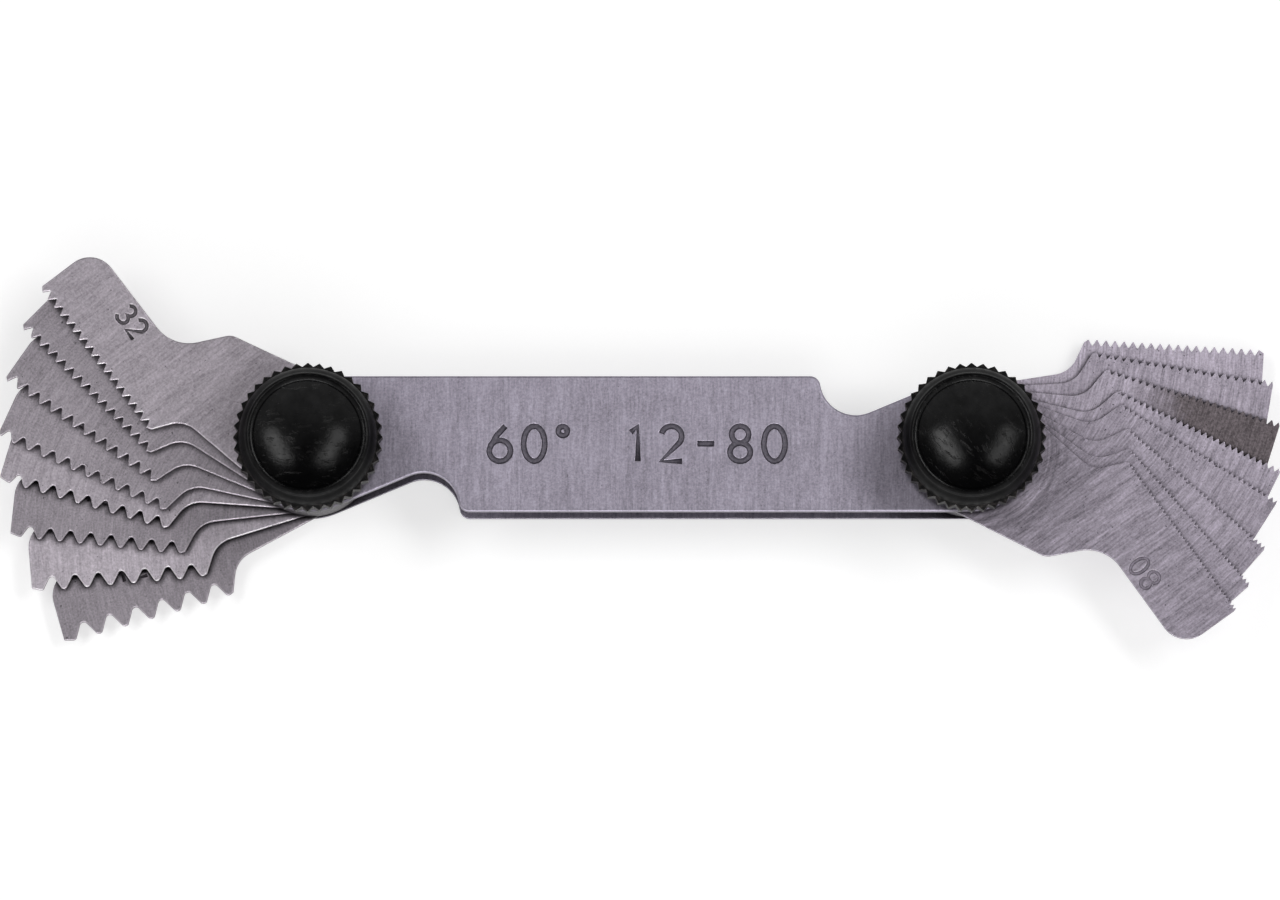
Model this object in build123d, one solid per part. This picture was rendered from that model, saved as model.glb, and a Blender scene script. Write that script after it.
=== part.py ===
from build123d import *
from math import asin, atan2, cos, floor, radians, sin, tan
import os

# A folding thread pitch gauge, in millimetres. It lies on its back plate: z = 0 is the back face, the origin is
# midway between the two pivots, +X runs to the right-hand pivot and +Z rises towards the knobs.

# Case plates
pivot_spacing = 51.4
plate_half_width = 5.3
plate_thickness = 0.7
plate_edge_radius = 0.2
notch_radius = 2.8
notch_offset = 8.9
notch_drop = 5.05
notch_corner = 0.8

# Leaves
inch = 25.4
blade_thickness = 0.5
blade_gap = 0.04
eye_radius = 5.2
back_line_angle = 27.5
head_back = 3.85
finger_wall = 12.5
finger_wall_angle = 65.0
finger_radius = 3.1
bump_radius = 1.2
head_end = 22.5
head_corner = 2.1
crest_line = 9.25
tooth_start = 8.4
end_chamfer = 0.25
end_land = 0.2
near_end_lean = 22.0
neck_angle = 12.3
neck_line = 4.85
neck_radius = 2.1

# Thread form
thread_angle = 60.0
rounding_share = 0.148
flat_share = 0.125
finest_rounded = 20

# Teeth per inch of each leaf, front leaf first, and the angle of its toothed edge from +X in the open fan
left_blades = {32: 127.4, 28: 135.2, 24: 145.2, 20: 155.6, 18: 163.6, 16: 174.0, 14: 184.9, 12: 196.1}
right_blades = {80: -54.2, 72: -48.8, 64: -41.3, 56: -32.3, 48: -26.4, 44: -17.6, 40: -9.7, 36: -3.5}

# Pivot studs
journal_radius = 2.5
journal_clearance = 0.05
stud_head_radius = 3.3
thread_radius = 1.5
thread_clearance = 0.05
thread_end_chamfer = 0.3

# Washers
washer_radius = 4.0
washer_thickness = 0.4
washer_clearance = 0.08

# Knobs
hub_radius = 4.3
hub_height = 2.4
knurl_radius = 5.8
knurl_depth = 0.35
knurl_run_out = 0.1
knurl_teeth = 40
knurl_height = 2.1
crown_height = 1.3
shoulder_bulge = 0.12
ring_radius = 4.5
ring_width = 0.7
ring_rise = 0.28
bowl_depth = 1.3
bush_radius = 2.6
bush_length = 3.8
bush_flange_radius = 3.3
bush_flange_height = 0.5
thread_end_gap = 0.4

# Heights and places that follow from the sizes above
blades_per_end = len(left_blades)
slot_height = blades_per_end * blade_thickness + (blades_per_end + 1) * blade_gap
front_plate_base = plate_thickness + slot_height
front_plate_top = front_plate_base + plate_thickness
knob_base = front_plate_top + washer_thickness
thread_top = knob_base + bush_length - thread_end_gap
pivots = {"left": -pivot_spacing / 2, "right": pivot_spacing / 2}


def thumb_notch():
    """Area cut from the lower left edge: a half round, and a straight run tangent to the plate's round end."""
    centre = Vector(notch_offset, -notch_drop)
    lean = atan2(-notch_drop, notch_offset) + asin((plate_half_width + notch_radius) / centre.length)
    across = Vector(sin(lean), -cos(lean))
    outside = -plate_half_width - notch_radius
    flank = [(0, outside), (0, 0), across * plate_half_width, centre - across * notch_radius, centre]
    area = make_face(Polyline(*flank, (notch_offset, outside), close=True))
    area = area - Circle(plate_half_width) + Pos(notch_offset, -notch_drop) * Circle(notch_radius)
    return Pos(pivots["left"], 0) * area


def plate_outline():
    """Round-ended side plate with a thumb notch near each end, alike under a half turn."""
    outline = SlotCenterToCenter(pivot_spacing, 2 * plate_half_width)
    outline = outline - thumb_notch() - Rot(0, 0, 180) * thumb_notch()
    inboard = pivot_spacing / 2 - notch_offset
    corners = outline.vertices().filter_by(lambda corner: abs(corner.X) < inboard)
    return fillet(corners, notch_corner)


def front_plate():
    plate = Pos(0, 0, front_plate_base) * extrude(plate_outline(), plate_thickness)
    plate = fillet(plate.faces().sort_by(Axis.Z)[-1].edges(), plate_edge_radius)
    for place in pivots.values():
        hole = Cylinder(thread_radius + thread_clearance, 3 * front_plate_top)
        plate -= Pos(place, 0, 0) * hole
    return plate


def back_plate():
    plate = extrude(plate_outline(), plate_thickness)
    plate = fillet(plate.faces().sort_by(Axis.Z)[0].edges(), plate_edge_radius)
    for place in pivots.values():
        seat = Cone(stud_head_radius, journal_radius, plate_thickness, align=(Align.CENTER, Align.CENTER, Align.MIN))
        plate -= Pos(place, 0, 0) * seat
    return plate


def pivot_stud():
    """Countersunk head, smooth journal for the leaves, shoulder under the front plate and a threaded end."""
    profile = Polyline(
        (0, 0),
        (stud_head_radius, 0),
        (journal_radius, plate_thickness),
        (journal_radius, front_plate_base),
        (thread_radius, front_plate_base),
        (thread_radius, thread_top - thread_end_chamfer),
        (thread_radius - thread_end_chamfer, thread_top),
        (0, thread_top),
        close=True,
    )
    return revolve(Plane.XZ * make_face(profile), Axis.Z)


def rounded_teeth(pitch, crests):
    """Corners and radii of teeth with round crests and roots, from the head's end back to the neck."""
    radius = rounding_share * pitch
    half_flat = radius * tan(radians(thread_angle / 2))
    sharp_depth = pitch / 2 / tan(radians(thread_angle / 2))
    peak = crest_line + radius
    root = peak - sharp_depth
    row = [((crests[0] - half_flat, crest_line), radius)]
    for crest in crests[1:]:
        row.append(((crest + pitch / 2, root), radius))
        row.append(((crest, peak), radius))
    row[-1] = ((crests[-1] + half_flat, crest_line), radius)
    return row


def sharp_teeth(pitch, crests):
    """Corners of V teeth with narrow flat crests and roots, from the head's end back to the neck."""
    half_flat = flat_share * pitch / 2
    depth = (pitch / 2 - 2 * half_flat) / tan(radians(thread_angle / 2))
    row = [((crests[0] - half_flat, crest_line), 0)]
    for crest in crests[1:]:
        middle = crest + pitch / 2
        row.append(((middle + half_flat, crest_line - depth), 0))
        row.append(((middle - half_flat, crest_line - depth), 0))
        row.append(((crest + half_flat, crest_line), 0))
        row.append(((crest - half_flat, crest_line), 0))
    return row[:-1]


def crest_places(pitch):
    """Crests along the toothed edge, from the head's end back to the neck."""
    run = head_end - tooth_start
    gaps = floor(run / pitch)
    first_crest = head_end - (run - gaps * pitch) / 2
    return [first_crest - pitch * number for number in range(gaps + 1)]


def direction(angle):
    return Vector(cos(radians(angle)), sin(radians(angle)))


def crossing(point, along, normal, distance):
    """Where a line through a point meets the line at a distance from the pivot with the given normal."""
    return point + along * ((distance - normal.dot(point)) / normal.dot(along))


def blade(teeth_per_inch):
    """One leaf on z = 0: pivot at the origin, head along +X, teeth towards +Y."""
    back_normal = direction(back_line_angle - 90)
    neck_normal = direction(neck_angle + 90)
    wall_foot = Vector(finger_wall, head_back)
    bump = crossing(wall_foot, direction(finger_wall_angle), back_normal, eye_radius)
    pitch = inch / teeth_per_inch
    crests = crest_places(pitch)
    teeth = rounded_teeth if teeth_per_inch <= finest_rounded else sharp_teeth
    near_end = Vector(crests[-1] - end_land, crest_line)
    near_edge = direction(90 - near_end_lean)
    neck_corner = crossing(near_end, near_edge, neck_normal, neck_line)
    outline = [
        (back_normal * eye_radius, 0),
        (bump, bump_radius),
        (wall_foot, finger_radius),
        ((head_end, head_back), head_corner),
        ((head_end, crest_line - end_chamfer), 0),
        *teeth(pitch, crests),
        (near_end - near_edge * end_chamfer, 0),
        (neck_corner, neck_radius),
        (neck_normal * neck_line, 0),
    ]
    corners = [corner for corner, radius in outline]
    radii = [radius for corner, radius in outline]
    leaf = make_face(FilletPolyline(*corners, radius=radii, close=True)) + Circle(eye_radius)
    leaf -= Circle(journal_radius + journal_clearance)
    return extrude(leaf, blade_thickness)


def washer():
    ring = Circle(washer_radius) - Circle(thread_radius + washer_clearance)
    return Pos(0, 0, front_plate_top) * extrude(ring, washer_thickness)


def bush_profile(bore_radius):
    """Half section of a flanged bush that stands on z = 0."""
    return make_face(
        Polyline(
            (bore_radius, 0),
            (bush_flange_radius, 0),
            (bush_flange_radius, bush_flange_height),
            (bush_radius, bush_flange_height),
            (bush_radius, bush_length),
            (bore_radius, bush_length),
            close=True,
        )
    )


def knob_bush():
    profile = bush_profile(thread_radius + thread_clearance)
    return Pos(0, 0, knob_base) * revolve(Plane.XZ * profile, Axis.Z)


def knob_crown():
    """Half section of the knob inside the knurl: hub, sloping shoulder, raised ring and hollow top."""
    shoulder_radius = knurl_radius - knurl_depth - knurl_run_out
    knurl_top = hub_height + knurl_height
    rim = knurl_top + crown_height
    bowl_floor = rim - bowl_depth
    ring_outside = ring_radius + ring_width / 2
    ring_inside = ring_radius - ring_width / 2
    shoulder = ThreePointArc(
        (shoulder_radius, knurl_top),
        ((shoulder_radius + ring_outside) / 2 + shoulder_bulge, (knurl_top + rim) / 2),
        (ring_outside, rim),
    )
    bead = ThreePointArc((ring_outside, rim), (ring_radius, rim + ring_rise), (ring_inside, rim))
    bowl = TangentArc((0, bowl_floor), (ring_inside, rim), tangent=(1, 0))
    core = Polyline(
        (0, bowl_floor),
        (0, 0),
        (hub_radius, 0),
        (hub_radius, knurl_top),
        (shoulder_radius, knurl_top),
    )
    return make_face([*core.edges(), shoulder, bead, bowl])


def knurl_band():
    """Disc of V teeth whose ends run out on a chamfer, standing on the hub's step."""
    pitch_angle = 360 / knurl_teeth
    crest = Vector(knurl_radius, 0)
    root = Vector(knurl_radius - knurl_depth, 0)
    points = []
    for number in range(knurl_teeth):
        points.append(crest.rotate(Axis.Z, pitch_angle * number))
        points.append(root.rotate(Axis.Z, pitch_angle * (number + 1 / 2)))
    teeth = extrude(make_face(Polyline(*points, close=True)), knurl_height)
    blank_radius = knurl_radius + knurl_run_out
    blank = Cylinder(blank_radius, knurl_height, align=(Align.CENTER, Align.CENTER, Align.MIN))
    blank = chamfer(blank.edges().filter_by(GeomType.CIRCLE), knurl_depth + 2 * knurl_run_out)
    return Pos(0, 0, hub_height) * (teeth & blank)


def knob():
    body = revolve(Plane.XZ * knob_crown(), Axis.Z) + knurl_band()
    pocket = revolve(Plane.XZ * bush_profile(0), Axis.Z)
    return Pos(0, 0, knob_base) * (body - pocket)


def write(node, solid):
    solid.label = node
    export_step(solid, f"parts/{node}.step")


os.makedirs("parts", exist_ok=True)
write("front_plate", front_plate())
write("back_plate", back_plate())
for side, place in pivots.items():
    at_pivot = Pos(place, 0, 0)
    write(f"{side}_pivot_stud", at_pivot * pivot_stud())
    write(f"{side}_washer", at_pivot * washer())
    write(f"{side}_knob_bush", at_pivot * knob_bush())
    write(f"{side}_knob", at_pivot * knob())
for side, fan in (("left", left_blades), ("right", right_blades)):
    for layer, (teeth_per_inch, angle) in enumerate(fan.items()):
        below = blades_per_end - 1 - layer
        height = plate_thickness + blade_gap + below * (blade_thickness + blade_gap)
        write(f"blade_{teeth_per_inch}", Pos(pivots[side], 0, height) * Rot(0, 0, angle) * blade(teeth_per_inch))
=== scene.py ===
from math import cos, pi, radians, sin

import bmesh
import bpy
from mathutils import Matrix, Vector


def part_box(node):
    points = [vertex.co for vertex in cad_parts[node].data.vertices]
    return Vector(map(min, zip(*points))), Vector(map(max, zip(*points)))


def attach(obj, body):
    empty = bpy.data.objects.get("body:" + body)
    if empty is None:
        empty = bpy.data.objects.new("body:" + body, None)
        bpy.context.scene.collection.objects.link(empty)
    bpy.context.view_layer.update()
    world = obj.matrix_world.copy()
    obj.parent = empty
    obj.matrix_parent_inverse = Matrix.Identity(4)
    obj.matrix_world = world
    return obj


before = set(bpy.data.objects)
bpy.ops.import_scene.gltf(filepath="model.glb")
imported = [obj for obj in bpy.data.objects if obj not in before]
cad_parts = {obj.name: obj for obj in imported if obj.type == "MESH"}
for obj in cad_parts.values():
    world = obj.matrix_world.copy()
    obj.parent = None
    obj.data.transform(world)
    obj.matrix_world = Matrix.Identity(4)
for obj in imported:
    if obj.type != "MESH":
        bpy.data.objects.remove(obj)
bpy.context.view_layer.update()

# A folding thread pitch gauge on a white table, seen from almost straight above.
# Metres, in the part's own frame.
MM = 0.001

# Camera
IMAGE_WIDTH = 1280
PIXELS_PER_METRE = 12870
CAMERA_TILT = 6.5
CAMERA_DISTANCE = 1.2
CAMERA_SHIFT = (0.02 * MM, -0.5 * MM)

# Places taken from the parts' own shapes
PLATE_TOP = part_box("front_plate")[1][2]
PIVOT_X = (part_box("right_washer")[0][0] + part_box("right_washer")[1][0]) / 2

# Leaves, front leaf first: teeth per inch, angle of the toothed edge from +X, tone against the fan's steel,
# depth of the painted shade in their corners
LEFT_LEAVES = [
    (32, 127.4, 1.02, 0.6),
    (28, 135.2, 0.78, 0.6),
    (24, 145.2, 0.78, 0.6),
    (20, 155.6, 0.80, 0.6),
    (18, 163.6, 0.95, 0.7),
    (16, 174.0, 0.73, 0.97),
    (14, 184.9, 1.12, 0.97),
    (12, 196.1, 0.74, 0.97),
]
RIGHT_LEAVES = [
    (80, -54.2, 0.99, 0.5),
    (72, -48.8, 1.00, 0.4),
    (64, -41.3, 0.99, 0.4),
    (56, -32.3, 0.94, 0.4),
    (48, -26.4, 0.97, 0.5),
    (44, -17.6, 0.95, 0.7),
    (40, -9.7, 0.86, 0.7),
    (36, -3.5, 0.98, 0.7),
]
STAINED_LEAF = 44

# Distance of the tooth line from the pivot in millimetres, and one past every piece for those without teeth
TOOTH_LINE = 9.25
NO_TEETH = 90.0

# Stamped numbers, pressed in by a round-nosed punch
LEAF_STAMP_PLACE = (16.05, 5.1)
LEAF_STAMP_HEIGHT = 1.6 * MM
LEAF_STAMP_PITCH = 0.86
LEAF_STROKE = 0.15 * MM
PLATE_STAMP = "60° 12-80"
PLATE_STAMP_HEIGHT = 2.75 * MM
PLATE_STAMP_PITCH = 0.97
PLATE_STAMP_SHIFT = -0.2 * MM
PLATE_STROKE = 0.24 * MM
STROKE_SINK = 0.85
# Darkness of the steel at the bottom of the stamped strokes: painted shade in the recesses
LEFT_STAMP_SHADE = 0.32
RIGHT_STAMP_SHADE = 0.60
PLATE_STAMP_SHADE = 0.42

# Wear and painted light of each set of pieces: streaks, soil, marks rubbed round the pivot, reach of the
# painted shade in corners and radius of the rounded edges, painted brighter as wear and painted highlight
LEFT_WEAR_AND_PAINTED_LIGHT = {"streak": 0.9, "soil": 0.8, "rubbed": 0.3, "reach": 0.5 * MM, "edge": 0.20 * MM}
RIGHT_WEAR_AND_PAINTED_LIGHT = {"streak": 1.6, "soil": 1.0, "rubbed": 1.0, "reach": 0.35 * MM, "edge": 0.06 * MM}
FRONT_WEAR_AND_PAINTED_LIGHT = {"streak": 0.9, "soil": 0.5, "rubbed": 0.0, "reach": 0.5 * MM, "edge": 0.08 * MM}
# The back plate's long reach paints shade over its inner face and over its edges by the table
BACK_WEAR_AND_PAINTED_LIGHT = {"streak": 0.9, "soil": 0.5, "rubbed": 0.0, "reach": 5.0 * MM, "edge": 0.08 * MM}
# Depth of the painted shade in the plates' corners
CASE_CORNER_SHADE = 0.97

# Painted shade under the knobs, in millimetres: the pivots' distance from the piece's own centre, the piece's
# radius round a pivot (below zero for none), and how far past that the painted shade begins to fade and ends
LEAF_EYE = {"pivot": 0.0, "eye": 5.2}
FRONT_EYE = {"pivot": PIVOT_X / MM, "eye": 5.3}
NO_EYE = {"pivot": 0.0, "eye": -1.0}
EYE_MARGIN = 0.1
EYE_FADE = 0.4

# Bands round a pivot, in millimetres from it: where each starts and is full, or starts to fade and ends
SCRATCHES_START = (5.4, 5.9)
SCRATCHES_END = (6.6, 8.0)
GRIME_END = (5.8, 8.2)
SHOULDER_BAND = (4.5, 5.0)
KNURL_BAND = (5.15, 5.45)

# Stain, in millimetres along its leaf: where it starts and where it is full
STAIN_BAND = (10.5, 15.5)

# Finishes, as they show under white light
LEFT_STEEL = (0.455, 0.415, 0.460)
RIGHT_STEEL = (0.455, 0.410, 0.485)
STAIN = (0.150, 0.128, 0.138)
PLATE_STEEL = (0.362, 0.334, 0.403)
STUD_STEEL = (0.50, 0.48, 0.50)
KNOB_BLACK = (0.0012, 0.0012, 0.0014)
KNURL_DUST = (0.055, 0.048, 0.045, 1.0)
# Worn knurl tips, painted lighter as wear and painted glints
KNURL_TIP_WEAR_AND_GLINT = (0.16, 0.15, 0.145, 1.0)
KNURL_EDGE = 0.12 * MM
SCUFF_TURNS = {"left": 0.0, "right": 130.0}
BRASS = (0.60, 0.42, 0.16)

# Table: half its width, its level just under the part, its white and the glow that it shows to the camera
FLOOR_HALF = 1.5
FLOOR_LEVEL = -0.01 * MM
FLOOR_WHITE = (0.62, 0.62, 0.62, 1.0)
FLOOR_GLOW = 0.50

# Light: strength of the room in front of and behind the part, the directions along Y between which it fades,
# and softboxes by name, place, size and watts
ROOM_FRONT = 0.86
ROOM_BACK = 0.03
ROOM_FADE = (-0.6, 0.35)
SOFTBOXES = [
    ("key", (0.26, 0.15, 0.37), (0.36, 0.14), 0.95),
    ("fill", (-0.26, 0.15, 0.37), (0.36, 0.14), 0.62),
    ("front", (0.0, -0.6, 0.12), (0.7, 0.12), 1.5),
]


class Finish:
    """Builds one material's nodes with short calls."""

    def __init__(self, name):
        self.material = bpy.data.materials.new(name)
        self.material.use_nodes = True
        self.tree = self.material.node_tree
        self.shader = self.tree.nodes["Principled BSDF"]

    def put(self, socket, value):
        if isinstance(value, bpy.types.NodeSocket):
            self.tree.links.new(value, socket)
        else:
            socket.default_value = value

    def node(self, kind, inputs, **settings):
        node = self.tree.nodes.new(kind)
        for setting, value in settings.items():
            setattr(node, setting, value)
        for socket, value in inputs.items():
            self.put(node.inputs[socket], value)
        return node

    def surface(self, **values):
        for socket, value in values.items():
            self.put(self.shader.inputs[socket.replace("_", " ").title().replace("Ior", "IOR")], value)

    def math(self, operation, a, b=0.0, c=0.0):
        node = self.node("ShaderNodeMath", {0: a, 1: b, 2: c}, operation=operation)
        return node.outputs[0]

    def span(self, value, low, high, to_low=0.0, to_high=1.0):
        """Straight ramp from one range to another, held at its ends."""
        inputs = {"Value": value, "From Min": low, "From Max": high, "To Min": to_low, "To Max": to_high}
        return self.node("ShaderNodeMapRange", inputs).outputs[0]

    def place(self, centre, turn):
        """Position in millimetres from a centre, turned so that +X runs along the given angle."""
        where = self.node("ShaderNodeTexCoord", {}).outputs["Object"]
        turned = (0.0, 0.0, radians(turn))
        inputs = {"Vector": where, "Location": centre, "Rotation": turned, "Scale": (MM, MM, MM)}
        return self.node("ShaderNodeMapping", inputs, vector_type="TEXTURE").outputs[0]

    def axes(self, vector):
        return self.node("ShaderNodeSeparateXYZ", {"Vector": vector}).outputs

    def join(self, x, y, z=0.0):
        return self.node("ShaderNodeCombineXYZ", {"X": x, "Y": y, "Z": z}).outputs[0]

    def stretch(self, vector, scales):
        return self.node("ShaderNodeVectorMath", {0: vector, 1: scales}, operation="MULTIPLY").outputs[0]

    def noise(self, vector, scale, detail=2.0, roughness=0.5):
        inputs = {"Vector": vector, "Scale": scale, "Detail": detail, "Roughness": roughness}
        return self.node("ShaderNodeTexNoise", inputs).outputs[0]

    def radius(self, place):
        flat = self.stretch(place, (1.0, 1.0, 0.0))
        return self.node("ShaderNodeVectorMath", {0: flat}, operation="LENGTH").outputs["Value"]

    def lighten(self, shade, mask, amount):
        """Shade times one plus the amount where the mask is 1."""
        return self.math("MULTIPLY", shade, self.math("MULTIPLY_ADD", mask, amount, 1.0))

    def tint(self, colour, tone):
        return self.node("ShaderNodeVectorMath", {0: colour, "Scale": tone}, operation="SCALE").outputs[0]

    def blend(self, amount, a, b):
        """Mix of two colours: the node's colours are its sockets 6 and 7 and its output 2."""
        node = self.node("ShaderNodeMix", {0: amount, 6: a, 7: b}, data_type="RGBA")
        return node.outputs[2]

    def wall(self):
        """1 on upright faces, 0 on level ones."""
        normal = self.node("ShaderNodeNewGeometry", {}).outputs["True Normal"]
        level = self.math("ABSOLUTE", self.axes(normal)["Z"])
        return self.span(level, 0.05, 0.2, 1.0, 0.0)

    def rounded(self, radius):
        """Normal with the sharp edges rounded, and how far it leans from the face's own."""
        normal = self.node("ShaderNodeBevel", {"Radius": radius}, samples=4).outputs[0]
        flat = self.node("ShaderNodeNewGeometry", {}).outputs["True Normal"]
        lean = self.node("ShaderNodeVectorMath", {0: normal, 1: flat}, operation="DOT_PRODUCT")
        return normal, self.span(lean.outputs["Value"], 0.85, 0.99, 1.0, 0.0)

    def crevice(self, reach):
        """1 deep in corners and under edges, 0 on open faces."""
        node = self.node("ShaderNodeAmbientOcclusion", {"Distance": reach}, samples=8)
        return self.span(node.outputs["AO"], 0.5, 0.95, 1.0, 0.0)

    def across(self, turn):
        """Direction across the grain, which turns with the piece."""
        inputs = {"Vector": (cos(radians(turn)), sin(radians(turn)), 0.0)}
        settings = {"vector_type": "VECTOR", "convert_from": "OBJECT", "convert_to": "WORLD"}
        return self.node("ShaderNodeVectorTransform", inputs, **settings).outputs[0]

    def bump(self, height, depth, strength, normal=None):
        inputs = {"Height": height, "Distance": depth, "Strength": strength}
        if normal:
            inputs["Normal"] = normal
        return self.node("ShaderNodeBump", inputs).outputs[0]


def ground_steel(
    name, colour, centre, turn, teeth_at, corner_shade, stained, streak, soil, rubbed, reach, edge, pivot, eye
):
    """Steel ground across a toothed edge.

    The streaks run along the piece's own Y. Soil gathers by the teeth, and scratches and grime round the
    pivot.
    Corners, upright faces and the piece under a knob are darkened as painted shade, and the rounded edges are
    painted brighter as wear and painted highlight. A stained leaf is dark towards its far end.
    """
    f = Finish(name)
    place = f.place(centre, turn)
    x, y, _ = f.axes(place)
    fine = f.noise(f.stretch(place, (6.5, 0.65, 6.5)), 1.0, 3.0, 0.65)
    broad = f.noise(f.stretch(place, (1.7, 0.10, 1.7)), 1.0, 2.0, 0.5)
    cloud = f.noise(place, 0.22, 3.0, 0.55)
    speck = f.noise(place, 6.5, 3.0, 0.7)
    shade = f.math("MULTIPLY_ADD", f.math("SUBTRACT", fine, 0.5), streak, 1.0)
    shade = f.math("MULTIPLY_ADD", f.math("SUBTRACT", broad, 0.5), 0.35 * streak, shade)
    shade = f.math("MULTIPLY_ADD", f.math("SUBTRACT", cloud, 0.5), 0.35, shade)
    shade = f.math("MULTIPLY_ADD", f.math("SUBTRACT", speck, 0.5), 1.2, shade)
    pits = f.span(f.noise(place, 2.6, 2.0, 0.6), 0.70, 0.74)
    near_teeth = f.span(y, teeth_at - 1.6, teeth_at - 0.2)
    spots = f.span(f.noise(place, 4.2, 2.0, 0.6), 0.66, 0.72)
    dirt = f.math("MAXIMUM", f.math("MULTIPLY", spots, near_teeth), f.math("MULTIPLY", pits, 0.8))
    dirt = f.math("MULTIPLY", dirt, soil)
    away = f.radius(f.join(f.math("SUBTRACT", f.math("ABSOLUTE", x), pivot), y))
    sweep = f.join(f.math("MULTIPLY", away, 2.2), f.math("ARCTAN2", y, x))
    scratches = f.math("SUBTRACT", f.noise(sweep, 1.3, 3.0, 0.65), 0.5)
    ring = f.math("MULTIPLY", f.span(away, *SCRATCHES_START), f.span(away, *SCRATCHES_END, 1.0, 0.0))
    grime = f.math("MULTIPLY", f.span(away, *GRIME_END, 1.0, 0.0), f.span(cloud, 0.35, 0.60))
    normal, wear_and_highlight = f.rounded(edge)
    knob_shade = f.span(away, eye + EYE_MARGIN, eye + EYE_FADE, 1.0, 0.0)
    # No painted edge highlight in the painted shade under a knob
    wear_and_highlight = f.lighten(wear_and_highlight, knob_shade, -1.0)
    shade = f.lighten(shade, f.math("MULTIPLY", ring, scratches), 2.4 * rubbed)
    shade = f.lighten(shade, grime, -0.25 * rubbed)
    shade = f.lighten(shade, dirt, -0.85)
    wall = f.wall()
    # Painted shade in corners and under edges, on level faces only
    corners = f.lighten(f.crevice(reach), wall, -1.0)
    # Painted shade: upright faces are darkened
    shade = f.lighten(shade, wall, -0.5)
    # Painted shade under the knob
    shade = f.lighten(shade, knob_shade, -0.65)
    shade = f.lighten(shade, corners, -corner_shade)
    # Rounded edges painted brighter, as wear and painted highlight
    shade = f.lighten(shade, wear_and_highlight, 1.2)
    rough = f.math("MULTIPLY_ADD", fine, 0.16, 0.42)
    rough = f.math("MULTIPLY_ADD", dirt, 0.3, rough)
    rough = f.math("MULTIPLY_ADD", wear_and_highlight, -0.2, rough)
    height = f.math("MULTIPLY_ADD", speck, 0.4, fine)
    shown = f.tint(colour, shade)
    if stained:
        drift = f.math("MULTIPLY_ADD", f.math("SUBTRACT", f.noise(place, 1.2, 4.0, 0.7), 0.5), 7.0, x)
        grains = f.lighten(shade, f.math("SUBTRACT", f.noise(place, 4.0, 3.0, 0.7), 0.5), 1.6)
        shown = f.blend(f.span(drift, *STAIN_BAND), shown, f.tint(STAIN, grains))
    f.surface(base_color=shown, metallic=1.0, roughness=rough, anisotropic=0.5)
    f.surface(tangent=f.across(turn), normal=f.bump(height, 0.006 * MM, 0.6, normal))
    return f.material


def stamped_steel(name, colour, centre):
    """Rough steel at the bottom of a stamped stroke, darkened as painted shade in the recess."""
    f = Finish(name)
    grain = f.noise(f.place(centre, 0.0), 5.0, 3.0, 0.65)
    f.surface(base_color=f.tint(colour, f.span(grain, 0.3, 0.7, 0.7, 1.3)), metallic=1.0, roughness=0.6)
    f.surface(normal=f.bump(grain, 0.01 * MM, 0.5))
    return f.material


def knob_plastic(name, centre, turn):
    """Black moulded plastic: satin hollow top with faint scuffs, dull shoulder and dusty knurl whose worn
    tips are painted lighter, as wear and painted glints.
    """
    f = Finish(name)
    place = f.place(centre, turn)
    away = f.radius(place)
    outside = f.span(away, *SHOULDER_BAND)
    knurl = f.span(away, *KNURL_BAND)
    dust = f.span(f.noise(place, 2.2, 3.0, 0.65), 0.50, 0.72)
    scuff = f.span(f.noise(f.stretch(place, (0.9, 2.6, 1.0)), 1.1, 4.0, 0.7), 0.56, 0.74)
    mottle = f.noise(place, 0.7, 4.0, 0.65)
    shade = f.math("MULTIPLY_ADD", f.math("SUBTRACT", mottle, 0.5), 0.8, 1.0)
    plain = f.tint(KNOB_BLACK, shade)
    soil = f.math("MULTIPLY", knurl, dust)
    dust_and_glint = f.blend(f.math("MULTIPLY", soil, 0.5), plain, KNURL_DUST)
    normal, wear_and_highlight = f.rounded(KNURL_EDGE)
    # Knurl tips painted lighter, as wear and painted glints
    tip_wear_and_glint = f.math("MULTIPLY", wear_and_highlight, f.math("MULTIPLY", knurl, f.span(mottle, 0.40, 0.55)))
    dust_and_glint = f.blend(tip_wear_and_glint, dust_and_glint, KNURL_TIP_WEAR_AND_GLINT)
    dust_and_glint = f.blend(f.math("MULTIPLY", f.lighten(scuff, outside, -1.0), 0.06), dust_and_glint, KNURL_DUST)
    rough = f.math("MULTIPLY_ADD", scuff, 0.18, 0.24)
    rough = f.math("MULTIPLY_ADD", outside, 0.2, rough)
    sheen = f.math("MULTIPLY_ADD", f.math("SUBTRACT", mottle, 0.5), 0.3, 0.18)
    sheen = f.lighten(sheen, outside, -0.72)
    height = f.math("MULTIPLY_ADD", scuff, 0.5, mottle)
    f.surface(base_color=dust_and_glint, roughness=rough, specular_ior_level=sheen)
    f.surface(normal=f.bump(height, 0.05 * MM, 0.5, normal))
    return f.material


def turned_metal(name, colour, centre):
    """Lathe-turned metal: fine rings about an axis."""
    f = Finish(name)
    place = f.place(centre, 0.0)
    away = f.radius(place)
    height = f.axes(place)["Z"]
    rings = f.noise(f.join(f.math("MULTIPLY", away, 9.0), f.math("MULTIPLY", height, 9.0)), 1.0, 2.0, 0.6)
    cloud = f.noise(place, 0.6, 3.0, 0.6)
    shade = f.math("MULTIPLY_ADD", f.math("SUBTRACT", rings, 0.5), 0.35, 1.0)
    shade = f.math("MULTIPLY_ADD", f.math("SUBTRACT", cloud, 0.5), 0.3, shade)
    rough = f.math("MULTIPLY_ADD", rings, 0.2, 0.22)
    f.surface(base_color=f.tint(colour, shade), metallic=1.0, roughness=rough)
    f.surface(normal=f.bump(rings, 0.004 * MM, 0.5))
    return f.material


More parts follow.
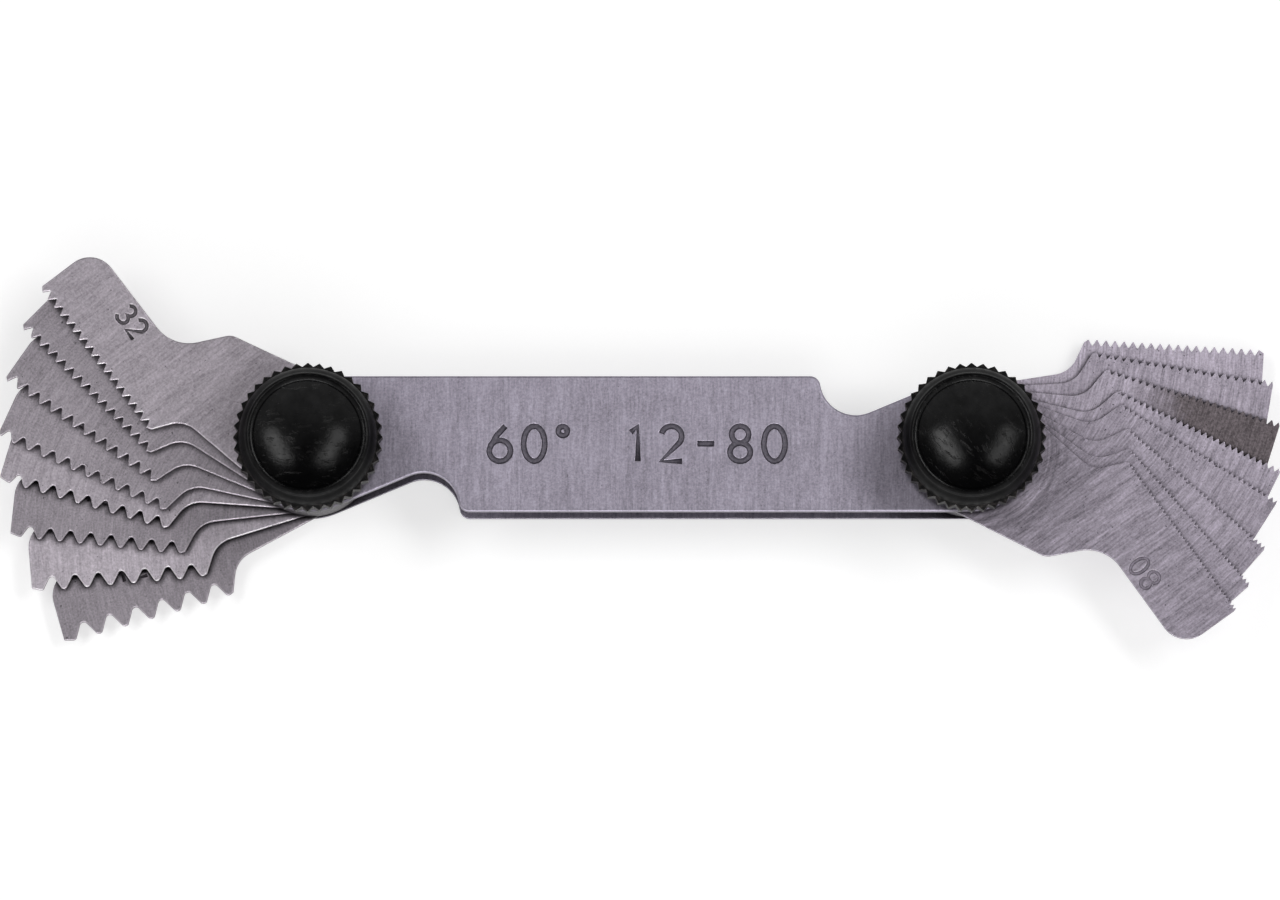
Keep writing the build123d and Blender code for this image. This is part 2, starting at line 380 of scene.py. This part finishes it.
def dress(node, material):
    mesh = node.data
    mesh.materials.clear()
    mesh.materials.append(material)


def join_facets(node):
    """Joins the node's facets at their edges, so that the modifiers after it see one closed body."""
    weld = node.modifiers.new("weld", "WELD")
    weld.merge_threshold = 0.0005 * MM


def arc(x, y, across, up, start, end, steps=14):
    """Points on an ellipse from one angle to another, in degrees."""
    turns = [radians(start + (end - start) * step / steps) for step in range(steps + 1)]
    return [(x + across * cos(turn), y + up * sin(turn)) for turn in turns]


# Single-stroke characters in a box 0.6 wide and 1 high
CHARACTER_WIDTH = 0.6
STROKES = {
    "0": [arc(0.3, 0.5, 0.3, 0.5, 0, 360, 24)],
    "1": [[(0.12, 0.82), (0.32, 1.0), (0.32, 0.0)]],
    "2": [arc(0.3, 0.71, 0.29, 0.29, 165, -38) + [(0.0, 0.0), (0.6, 0.0)]],
    "3": [arc(0.28, 0.75, 0.25, 0.25, 155, -90) + arc(0.28, 0.26, 0.3, 0.26, 80, -155)],
    "4": [[(0.44, 0.0), (0.44, 1.0), (0.0, 0.3), (0.62, 0.3)]],
    "5": [[(0.54, 1.0), (0.1, 1.0), (0.05, 0.55)] + arc(0.27, 0.32, 0.31, 0.32, 125, -150)],
    "6": [[(0.46, 1.0), (0.2, 0.72)] + arc(0.3, 0.3, 0.3, 0.3, 170, 520, 24)],
    "7": [[(0.0, 1.0), (0.6, 1.0), (0.22, 0.0)]],
    "8": [arc(0.3, 0.76, 0.24, 0.24, 0, 360, 20), arc(0.3, 0.26, 0.29, 0.26, 0, 360, 22)],
    "-": [[(0.06, 0.5), (0.54, 0.5)]],
    "°": [arc(0.14, 0.86, 0.13, 0.13, 0, 360, 14)],
    " ": [],
}


def stroke_tubes(name, text, height, pitch, radius):
    """Mesh of the text's strokes as round tubes, centred on the origin in the XY plane."""
    curve = bpy.data.curves.new(name, "CURVE")
    curve.dimensions = "3D"
    curve.bevel_depth = radius
    curve.bevel_resolution = 4
    curve.use_fill_caps = True
    start = -((len(text) - 1) * pitch + CHARACTER_WIDTH) / 2
    for number, character in enumerate(text):
        for points in STROKES[character]:
            closed = (Vector(points[0]) - Vector(points[-1])).length < 0.001
            points = points[:-1] if closed else points
            spline = curve.splines.new("POLY")
            spline.points.add(len(points) - 1)
            spline.use_cyclic_u = closed
            for point, (x, y) in zip(spline.points, points):
                point.co = ((start + number * pitch + x) * height, (y - 0.5) * height, 0.0, 1.0)
    tubes = bpy.data.objects.new(name, curve)
    bpy.context.scene.collection.objects.link(tubes)
    bpy.context.view_layer.update()
    mesh = bpy.data.meshes.new_from_object(tubes.evaluated_get(bpy.context.evaluated_depsgraph_get()))
    bpy.data.objects.remove(tubes)
    return mesh


def stamp(node, body, text, height, pitch, radius, place, material):
    """Presses text into a node's face: a hidden cutter of round strokes rides on the node's body."""
    name = f"{node.name}_stamp"
    mesh = stroke_tubes(name, text, height, pitch, radius)
    shape = bmesh.new()
    shape.from_mesh(mesh)
    bmesh.ops.remove_doubles(shape, verts=shape.verts, dist=0.001 * MM)
    bmesh.ops.recalc_face_normals(shape, faces=shape.faces)
    lift = Matrix.Translation((0.0, 0.0, radius * (1 - STROKE_SINK)))
    bmesh.ops.transform(shape, matrix=place @ lift, verts=shape.verts)
    shape.to_mesh(mesh)
    shape.free()
    mesh.materials.clear()
    mesh.materials.append(material)
    cutter = bpy.data.objects.new(name, mesh)
    bpy.context.scene.collection.objects.link(cutter)
    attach(cutter, body)
    cutter.hide_render = True
    cutter.hide_viewport = True
    press = node.modifiers.new("stamp", "BOOLEAN")
    press.operation = "DIFFERENCE"
    press.solver = "EXACT"
    press.use_self = True
    press.material_mode = "TRANSFER"
    press.object = cutter


def toned(colour, tone):
    return tuple(channel * tone for channel in colour)


def dress_fan(leaves, pivot_x, steel, wear_and_painted_light, stamp_shade):
    """Finishes one fan and stamps its leaves."""
    pivot = (pivot_x, 0.0, 0.0)
    marks = stamped_steel(f"blade_{leaves[0][0]}_stamp", toned(steel, stamp_shade), pivot)
    spot = Matrix.Translation((LEAF_STAMP_PLACE[0] * MM, LEAF_STAMP_PLACE[1] * MM, 0.0))
    for teeth, angle, tone, corner_shade in leaves:
        name = f"blade_{teeth}"
        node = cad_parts[name]
        colour = toned(steel, tone)
        stained = teeth == STAINED_LEAF
        finish = ground_steel(
            f"{name}_steel", colour, pivot, angle, TOOTH_LINE, corner_shade, stained, **wear_and_painted_light, **LEAF_EYE
        )
        dress(node, finish)
        join_facets(node)
        top = Matrix.Translation((pivot_x, 0.0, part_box(name)[1][2]))
        place = top @ Matrix.Rotation(radians(angle), 4, "Z") @ spot @ Matrix.Rotation(pi, 4, "Z")
        stamp(node, name, str(teeth), LEAF_STAMP_HEIGHT, LEAF_STAMP_PITCH, LEAF_STROKE, place, marks)


def dress_case():
    middle = (0.0, 0.0, 0.0)
    for name, wear_and_painted_light, eye in (("front_plate", FRONT_WEAR_AND_PAINTED_LIGHT, FRONT_EYE), ("back_plate", BACK_WEAR_AND_PAINTED_LIGHT, NO_EYE)):
        steel = ground_steel(
            f"{name}_steel", PLATE_STEEL, middle, 0.0, NO_TEETH, CASE_CORNER_SHADE, False, **wear_and_painted_light, **eye
        )
        dress(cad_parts[name], steel)
    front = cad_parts["front_plate"]
    join_facets(front)
    marks = stamped_steel("front_plate_stamp", toned(PLATE_STEEL, PLATE_STAMP_SHADE), middle)
    place = Matrix.Translation((PLATE_STAMP_SHIFT, 0.0, PLATE_TOP))
    stamp(front, "case", PLATE_STAMP, PLATE_STAMP_HEIGHT, PLATE_STAMP_PITCH, PLATE_STROKE, place, marks)


def dress_pivots():
    for side, x in (("left", -PIVOT_X), ("right", PIVOT_X)):
        pivot = (x, 0.0, 0.0)
        dress(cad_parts[f"{side}_knob"], knob_plastic(f"{side}_knob_black", pivot, SCUFF_TURNS[side]))
        dress(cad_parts[f"{side}_knob_bush"], turned_metal(f"{side}_bush_brass", BRASS, pivot))
        for part in ("pivot_stud", "washer"):
            dress(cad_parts[f"{side}_{part}"], turned_metal(f"{side}_{part}_steel", STUD_STEEL, pivot))


def white_floor():
    """A white table: white where it is seen or mirrored, with the shadow that falls on it."""
    mesh = bpy.data.meshes.new("floor")
    signs = [(-1, -1), (1, -1), (1, 1), (-1, 1)]
    corners = [(x * FLOOR_HALF, y * FLOOR_HALF, FLOOR_LEVEL) for x, y in signs]
    mesh.from_pydata(corners, [], [(0, 1, 2, 3)])
    floor = bpy.data.objects.new("floor", mesh)
    bpy.context.scene.collection.objects.link(floor)
    f = Finish("floor_white")
    f.surface(base_color=FLOOR_WHITE, roughness=0.9, specular_ior_level=0.1)
    path = f.node("ShaderNodeLightPath", {}).outputs
    seen = f.math("MAXIMUM", path["Is Camera Ray"], path["Is Glossy Ray"])
    seen = f.math("MAXIMUM", seen, path["Is Transmission Ray"])
    f.surface(emission_color=(1.0, 1.0, 1.0, 1.0), emission_strength=f.math("MULTIPLY", seen, FLOOR_GLOW))
    mesh.materials.append(f.material)


def studio_world():
    """Dim room, lighter towards the viewer's side of the table."""
    world = bpy.data.worlds.new("studio")
    bpy.context.scene.world = world
    world.use_nodes = True
    nodes, links = world.node_tree.nodes, world.node_tree.links
    background = nodes["Background"]
    background.inputs["Color"].default_value = (1.0, 1.0, 1.0, 1.0)
    direction = nodes.new("ShaderNodeTexCoord")
    axes = nodes.new("ShaderNodeSeparateXYZ")
    links.new(direction.outputs["Generated"], axes.inputs[0])
    fade = nodes.new("ShaderNodeMapRange")
    fade.inputs["From Min"].default_value = ROOM_FADE[0]
    fade.inputs["From Max"].default_value = ROOM_FADE[1]
    fade.inputs["To Min"].default_value = ROOM_FRONT
    fade.inputs["To Max"].default_value = ROOM_BACK
    links.new(axes.outputs["Y"], fade.inputs["Value"])
    links.new(fade.outputs[0], background.inputs["Strength"])


def softbox(name, place, size, power):
    lamp = bpy.data.lights.new(name, "AREA")
    lamp.shape = "RECTANGLE"
    lamp.size, lamp.size_y = size
    lamp.energy = power
    box = bpy.data.objects.new(name, lamp)
    bpy.context.scene.collection.objects.link(box)
    box.location = place
    box.rotation_mode = "QUATERNION"
    box.rotation_quaternion = (-Vector(place)).to_track_quat("-Z", "Y")


def photo_camera():
    lens = bpy.data.cameras.new("camera")
    lens.sensor_width = 36.0
    lens.lens = PIXELS_PER_METRE * CAMERA_DISTANCE / IMAGE_WIDTH * lens.sensor_width
    lens.clip_start = 0.01
    lens.clip_end = 10.0
    camera = bpy.data.objects.new("camera", lens)
    bpy.context.scene.collection.objects.link(camera)
    tilt = radians(CAMERA_TILT)
    aim = Vector((*CAMERA_SHIFT, PLATE_TOP))
    camera.location = aim + Vector((0.0, -sin(tilt), cos(tilt))) * CAMERA_DISTANCE
    camera.rotation_euler = (tilt, 0.0, 0.0)
    bpy.context.scene.camera = camera


dress_fan(LEFT_LEAVES, -PIVOT_X, LEFT_STEEL, LEFT_WEAR_AND_PAINTED_LIGHT, LEFT_STAMP_SHADE)
dress_fan(RIGHT_LEAVES, PIVOT_X, RIGHT_STEEL, RIGHT_WEAR_AND_PAINTED_LIGHT, RIGHT_STAMP_SHADE)
dress_case()
dress_pivots()
white_floor()
studio_world()
for name, place, size, power in SOFTBOXES:
    softbox(name, place, size, power)
photo_camera()
bpy.context.scene.view_settings.view_transform = "Standard"
